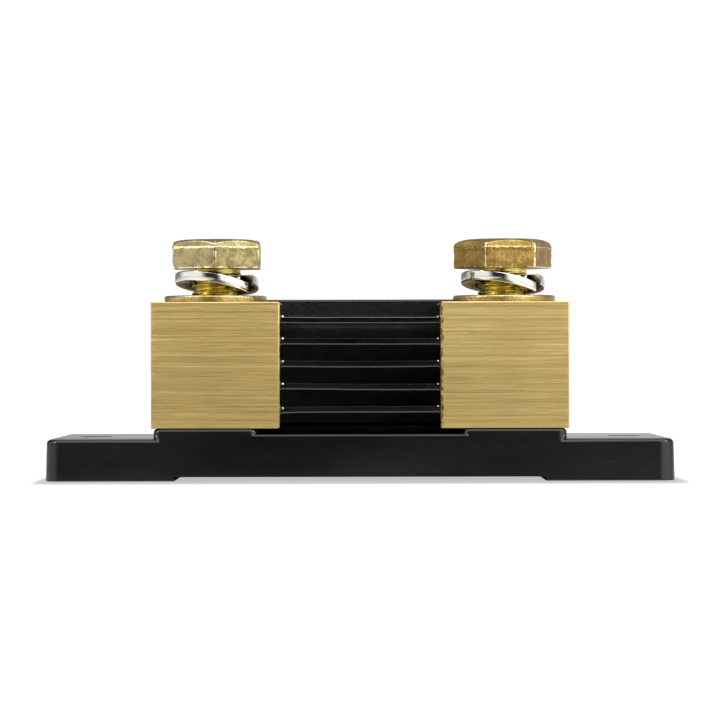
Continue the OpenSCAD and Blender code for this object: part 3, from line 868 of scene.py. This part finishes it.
def make_head(side):
    """A bolt's head, drawn ring by ring from the middle of its seat to the middle of its top."""
    node = side + "_terminal_bolt"
    x, y = axis_of(side)
    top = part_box(node)[1][2]
    seat = top - HEX_H
    turn, torn = math.radians(HEX_TURN[side]), CORNER_TEAR[side]
    angles = [TAU * i / HEAD_SIDES for i in range(HEAD_SIDES)]
    levels = [FOOT_ROUND * i / 5 for i in range(5)]
    levels += [FOOT_ROUND + (RIDGE_Z - RIDGE_BAND - FOOT_ROUND) * i / 12 for i in range(12)]
    levels += [RIDGE_Z + RIDGE_BAND * (i / 8 - 1) for i in range(17)]
    rest = HEX_H - levels[-1]
    levels += [HEX_H - rest * (1 - i / 22) ** 2 for i in range(1, 22)] + [HEX_H]
    rings = [[(share * head_radius(a, 0, turn, torn), 0.0, a) for a in angles]
             for share in (0.35, 0.6, 0.8, 0.96)]
    rings += [[(head_radius(a, z, turn, torn), z, a) for a in angles] for z in levels]
    rings += [[(share * head_radius(a, HEX_H, turn, torn), HEX_H, a) for a in angles]
              for share in (0.97, 0.85, 0.6, 0.3)]
    placed = []
    for ring in rings:
        row = []
        for r, z, a in ring:
            px, py = r * math.cos(a), r * math.sin(a)
            dent = 0.0
            if 0 < z < HEX_H:
                point = (px + SIDES[side], py, z)
                dent = (ripple(point, 330, 0.035 * MM) + ripple(point, 1100, 0.015 * MM)) / r
            row.append((x + px * (1 + dent), y + py * (1 + dent), seat + z))
        placed.append(row)
    work = bmesh.new()
    rows = skin(work, placed, caps=False)
    cone_cap(work, list(reversed(rows[0])), (x, y, seat))
    cone_cap(work, rows[-1], (x, y, top))
    head = finish_mesh(node + "_head", work, FORGED[side], sharp=50)
    worn = head.data.attributes.new("worn", "FLOAT", "POINT")
    for vertex, mark in zip(head.data.vertices, worn.data):
        px, py, z = vertex.co.x - x, vertex.co.y - y, vertex.co.z - seat
        on_side = math.hypot(px, py) > 0.96 * HEX_AF / 2
        # Worn metal and painted highlight: marks the corners, flash ridge and foot for a pale polished colour
        mark.value = edge_wear_and_highlight(math.atan2(py, px), z, turn) if on_side else 0.0
    place_piece(head, side + "_bolt", "bolt_brass", node)


def thread_radius(z, angle):
    """Radius of the right-hand thread at a height and an angle: flats at crest and root, 60 degree flanks."""
    share = (z / PITCH - angle / TAU) % 1.0
    drop = (abs(share - 0.5) * PITCH - PITCH / 16) * math.sqrt(3)
    return THREAD_R - min(max(drop, 0.0), THREAD_DEPTH)


def make_thread(side):
    """A bolt's thread, chamfered at its end and running out into a plain neck under the head."""
    x, y = axis_of(side)
    low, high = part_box(side + "_terminal_bolt")
    seat = high[2] - HEX_H
    neck_length, neck_radius, fade = 0.5 * MM, THREAD_R - 0.3 * MM, 1.2 * MM
    total = int(round((seat - low[2]) / (0.1 * MM)))
    rings = []
    for j in range(total + 1):
        z = low[2] + (seat - low[2]) * j / total
        chamfer = THREAD_R - THREAD_DEPTH + (z - low[2]) * 1.4 + 0.15 * MM
        cut = min(max((seat - z - neck_length) / fade, 0.0), 1.0)
        ring = []
        for i in range(THREAD_SIDES):
            a = TAU * i / THREAD_SIDES
            r = cut * min(thread_radius(z, a), chamfer) + (1 - cut) * neck_radius
            ring.append((x + r * math.cos(a), y + r * math.sin(a), z))
        rings.append(ring)
    work = bmesh.new()
    skin(work, rings)
    place_piece(finish_mesh(side + "_bolt_thread", work, THREAD, sharp=50), side + "_bolt", "bolt_brass")


SPRING_ID, SPRING_OD, SPRING_T = 10.4 * MM, 16.4 * MM, 2.0 * MM
SPRING_START, SPRING_SWEEP = -50.0, 348.0  # degrees, clockwise from the front as seen from above


def spring_height(a):
    """How high the middle of the wire is above the flat washer at an angle in degrees."""
    t = (a - SPRING_START) / 350
    return MM * (1.08 + 1.85 * (1 - (1 - t) ** 3) + 1.75 * math.cos(math.radians(a - 25)))


def make_spring_washer(side):
    """A split spring washer, sprung open, with round edges and slightly shrunk ends."""
    node = side + "_spring_washer"
    x, y = axis_of(side)
    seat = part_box(side + "_flat_washer")[1][2]
    middle, half_w, half_t = (SPRING_ID + SPRING_OD) / 4, (SPRING_OD - SPRING_ID) / 4, SPRING_T / 2
    section = rounded_outline(2 * half_w, 2 * half_t, 0.28 * MM, 4)
    rings = []
    for i in range(-2, SPRING_STEPS + 3):
        share = min(max(i, 0), SPRING_STEPS) / SPRING_STEPS
        a = SPRING_START + SPRING_SWEEP * share
        over = max(0, -i, i - SPRING_STEPS)
        shrink = 1 - 0.045 * over
        if over:
            a += (0.35 if i > 0 else -0.35) * (over - 2)
        rad = math.radians(a)
        ring = []
        for dr, dz in section:
            r = middle + dr * shrink
            point = (-math.sin(rad) * r, -math.cos(rad) * r, spring_height(a) + dz * shrink)
            worn = ripple((point[0] + SIDES[side], point[1], point[2]), 400, 0.008 * MM)
            ring.append((x + point[0], y + point[1], seat + point[2] + worn))
        rings.append(ring)
    work = bmesh.new()
    skin(work, rings)
    washer = finish_mesh(node + "_wire", work, SPRING, sharp=50)
    # Painted shade: marks the wire's underside, darkest at the hole, and its upper side near the hole
    underside_shade = washer.data.attributes.new("underside_shade", "FLOAT", "POINT")
    for i, mark in enumerate(underside_shade.data):
        dr, dz = section[i % len(section)]
        inner = 0.5 - dr / half_w / 2
        mark.value = inner if dz < 0 else max(0.0, 2 * inner - 1) if dr < 0 else 0.0
    place_piece(washer, side + "_washers", "spring_steel", node)


FLAT_HOLE_R = 5.25 * MM


def make_flat_washer(side):
    """A stamped washer: rolled at the top, a small burr at the foot, and slightly dished and dented."""
    node = side + "_flat_washer"
    low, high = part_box(node)
    x, y = (low[0] + high[0]) / 2, (low[1] + high[1]) / 2
    outer, thick, hole = (high[0] - low[0]) / 2, high[2] - low[2], FLAT_HOLE_R
    rolled, burr = 0.45 * MM, 0.12 * MM
    hole_rolled = 0.7 * rolled
    profile = arc((outer - burr, burr), burr, 270, 360, 3)
    profile += arc((outer - rolled, thick - rolled), rolled, 0, 90, 6)
    profile += [(outer - rolled - (outer - hole - 2 * rolled) * i / 6, thick) for i in range(1, 6)]
    profile += arc((hole + hole_rolled, thick - hole_rolled), hole_rolled, 90, 180, 5)
    profile += arc((hole + burr, burr), burr, 180, 270, 3)

    def dished(a, r, z):
        point = (r * math.cos(a) + SIDES[side], r * math.sin(a), z)
        out = ripple(point, 420, 0.05 * MM) if r > outer - MM else 0
        return r + out, min(max(z + ripple(point, 260, 0.03 * MM), 0), thick)

    work = bmesh.new()
    lathe(work, profile, (x, y, low[2]), WASHER_SIDES, dished)
    place_piece(finish_mesh(node + "_ring", work, STAMPED, sharp=50), side + "_washers", "washer_brass", node)


# ---------------------------------------------------------------- sensor housing


def make_housing():
    """The sensor's case, whose front wall carries painted light, and its cover."""
    low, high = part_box("sensor_case")
    case = soft_copy("sensor_case", "housing_case", ((0.5 * MM, on_hull_edge(low, high)),), CASE_BLACK, LIT_WALL)
    for face in case.data.polygons:
        # The front wall takes the material with painted light
        if face.normal.y < -FACING and abs(face.center.y - low[1]) < 0.1 * MM:
            face.material_index = 1
    place_piece(case, "shunt", "case_plastic", "sensor_case")
    low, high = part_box("sensor_cover")
    cover = soft_copy("sensor_cover", "housing_cover", ((0.3 * MM, on_hull_edge(low, high)),), CASE_BLACK)
    place_piece(cover, "shunt", "case_plastic", "sensor_cover")


make_base()
for block_side in SIDES:
    make_block(block_side)
    make_head(block_side)
    make_thread(block_side)
    make_spring_washer(block_side)
    make_flat_washer(block_side)
for strip_number in STRIP_BOW:
    make_strip(strip_number)
make_housing()

# ---------------------------------------------------------------- floor, light and camera

# How far the painted shadow reaches from the base, to its front, and to its sides and rear
PAINTED_SHADOW_AHEAD, PAINTED_SHADOW_ASIDE = 27 * MM, 3 * MM
# Between these distances the black card in front, painted shade that all but the camera see, ends: out from
# the middle, and back along Y
CARD_SIDE, CARD_BACK = (0.09, 0.18), (-0.12, -0.055)
# The light table's emission strength inside the painted shadow, and clear of it
GLOW_IN_PAINTED_SHADOW, GLOW_OPEN = 0.6, 1.2


def make_floor():
    """A pale light table with a painted shadow round the base, which reaches furthest in front. Only the
    camera sees its emission. Everything else sees painted shade on it towards the front, as if a black card
    lay there."""
    work = bmesh.new()
    skin(work, [[(-6, -6, 0), (6, -6, 0)], [(-6, 6, 0), (6, 6, 0)]], closed=False, caps=False)
    g = Graph("pale_floor", (0.86, 0.86, 0.86), 0.6)
    pale = g.mix(g.noise(3.0, 2.0), (0.85, 0.85, 0.85), (0.87, 0.87, 0.87))
    x, y, _ = g.xyz(g.place())
    from_middle_x, from_middle_y = g.maths("ABSOLUTE", x), g.maths("ABSOLUTE", y)
    # Painted shade: the black card darkens the floor in front for all but the camera
    clear = g.maths("MAXIMUM", g.ramp(from_middle_x, *CARD_SIDE), g.ramp(y, *CARD_BACK))
    card = g.mix(clear, (0.03, 0.03, 0.03), (0.72, 0.72, 0.71))
    seen = g.node("ShaderNodeLightPath").outputs["Is Camera Ray"]
    _, (half_length, half_depth, _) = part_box("base")
    # Painted shadow: the camera sees the floor dimmed near the base, furthest in front
    out_x = g.maths("MAXIMUM", g.maths("SUBTRACT", from_middle_x, half_length), 0.0)
    out_y = g.maths("MAXIMUM", g.maths("SUBTRACT", from_middle_y, half_depth), 0.0)
    reach = g.ramp(y, -half_depth, half_depth, PAINTED_SHADOW_AHEAD, PAINTED_SHADOW_ASIDE)
    across = g.maths("POWER", g.maths("DIVIDE", out_x, PAINTED_SHADOW_ASIDE), 2.0)
    along = g.maths("POWER", g.maths("DIVIDE", out_y, reach), 2.0)
    distance = g.maths("SQRT", g.maths("ADD", across, along))
    glow_with_painted_shadow = g.ramp(distance, 0.25, 1.0, GLOW_IN_PAINTED_SHADOW, GLOW_OPEN)
    g.set("Base Color", g.mix(seen, card, (0.02, 0.02, 0.02)))
    g.set("Emission Color", pale)
    g.set("Emission Strength", g.maths("MULTIPLY", seen, glow_with_painted_shadow))
    floor = finish_mesh("floor", work, g.material)


def area_light(name, place, target, size, power):
    """A rectangular lamp that lights the object and isn't seen itself."""
    data = bpy.data.lights.new(name, "AREA")
    data.shape = "RECTANGLE"
    data.size, data.size_y = size
    data.energy = power
    light = bpy.data.objects.new(name, data)
    light.location = place
    light.rotation_euler = (Vector(target) - Vector(place)).to_track_quat("-Z", "Y").to_euler()
    light.visible_camera = False
    bpy.context.scene.collection.objects.link(light)


FRONT_DARK, SIDE_BRIGHT, REAR_DIM, BACK_BRIGHT, CEILING = 0.035, 1.65, 0.4, 0.8, 1.1
# The angles from the middle of the slot, in radians, between which the tent's wall goes from dark to bright,
# from bright to dim, and from dim to the back's brightness
SLOT_END, SIDE_END, BACK_START = (0.24, 0.62), (1.5, 2.05), (2.5, 2.95)
SLOT_TURN = 0.2   # how far left of the front the slot's middle is, in radians
LEFT_LEVEL, RIGHT_LEVEL = 0.66, 1.2
REAR_GAP = 0.5    # the share of light that the gap at the rear takes away
TENT_COLOR = (1.0, 0.985, 0.96)


def make_world():
    """A light tent: bright sides and ceiling, a dark slot at the front where the camera looks in, and
    a dimmer back with a dark gap above its foot. The camera itself sees plain white behind the object."""
    world = bpy.data.worlds.new("studio")
    bpy.context.scene.world = world
    world.use_nodes = True
    w = Nodes(world.node_tree)
    x, y, z = w.xyz(w.node("ShaderNodeTexCoord").outputs["Generated"])
    from_front = w.maths("ARCTAN2", x, w.maths("MULTIPLY", y, -1.0))
    turn = w.maths("ABSOLUTE", w.maths("ADD", from_front, SLOT_TURN))
    wall = w.ramp(turn, *SLOT_END, FRONT_DARK, SIDE_BRIGHT)
    wall = w.maths("SUBTRACT", wall, w.ramp(turn, *SIDE_END, 0.0, SIDE_BRIGHT - REAR_DIM))
    wall = w.maths("ADD", wall, w.ramp(turn, *BACK_START, 0.0, BACK_BRIGHT - REAR_DIM))
    wall = w.maths("MULTIPLY", wall, w.ramp(x, -0.6, 0.6, LEFT_LEVEL, RIGHT_LEVEL))
    up = w.ramp(z, 0.72, 0.95)
    light = w.maths("ADD", w.maths("MULTIPLY", wall, w.maths("SUBTRACT", 1.0, up)),
                    w.maths("MULTIPLY", up, CEILING))
    gap = w.maths("MULTIPLY", w.ramp(y, 0.0, 0.3), w.ramp(z, 0.1, 0.3))
    light = w.maths("MULTIPLY", light, w.maths("SUBTRACT", 1.0, w.maths("MULTIPLY", gap, REAR_GAP)))
    output = w.node("ShaderNodeOutputWorld")
    mix = w.node("ShaderNodeMixShader")
    for i, source in enumerate((w.node("ShaderNodeLightPath").outputs["Is Camera Ray"],
                                w.node("ShaderNodeBackground", Color=TENT_COLOR, Strength=light).outputs[0],
                                w.node("ShaderNodeBackground", Color=(1, 1, 1), Strength=1.05).outputs[0])):
        w.give(mix.inputs[i], source)
    w.give(output.inputs["Surface"], mix.outputs[0])


CAMERA_BACK = 696 * MM   # from the base's front
CAMERA_Z = 23 * MM
CAMERA_ROLL = math.radians(0.12)
SENSOR, LENS = 36, 183.2  # in millimetres


def make_camera():
    data = bpy.data.cameras.new("camera")
    data.sensor_width = SENSOR
    data.lens = LENS
    data.clip_start = 0.01
    camera = bpy.data.objects.new("camera", data)
    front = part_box("base")[0][1]
    camera.location = (0, front - CAMERA_BACK, CAMERA_Z)
    camera.rotation_euler = (math.pi / 2, CAMERA_ROLL, 0)
    bpy.context.scene.collection.objects.link(camera)
    bpy.context.scene.camera = camera


# Each lamp's name, place, target, size and power, in metres and watts
LAMPS = (("top_soft", (0, -0.15, 0.9), (0, 0, 0), (1.2, 0.6), 3.4),
         ("front_soft", (0, -0.5, 0.62), (0, 0, 0.02), (0.7, 0.26), 1.85),
         ("left_lamp", (-0.56, -0.26, 0.52), (0, 0, 0.02), (0.1, 0.1), 1.6),
         ("right_lamp", (0.56, -0.26, 0.52), (0, 0, 0.02), (0.1, 0.1), 1.9))

make_floor()
make_world()
for lamp in LAMPS:
    area_light(*lamp)
make_camera()
bpy.context.scene.view_settings.view_transform = "Standard"
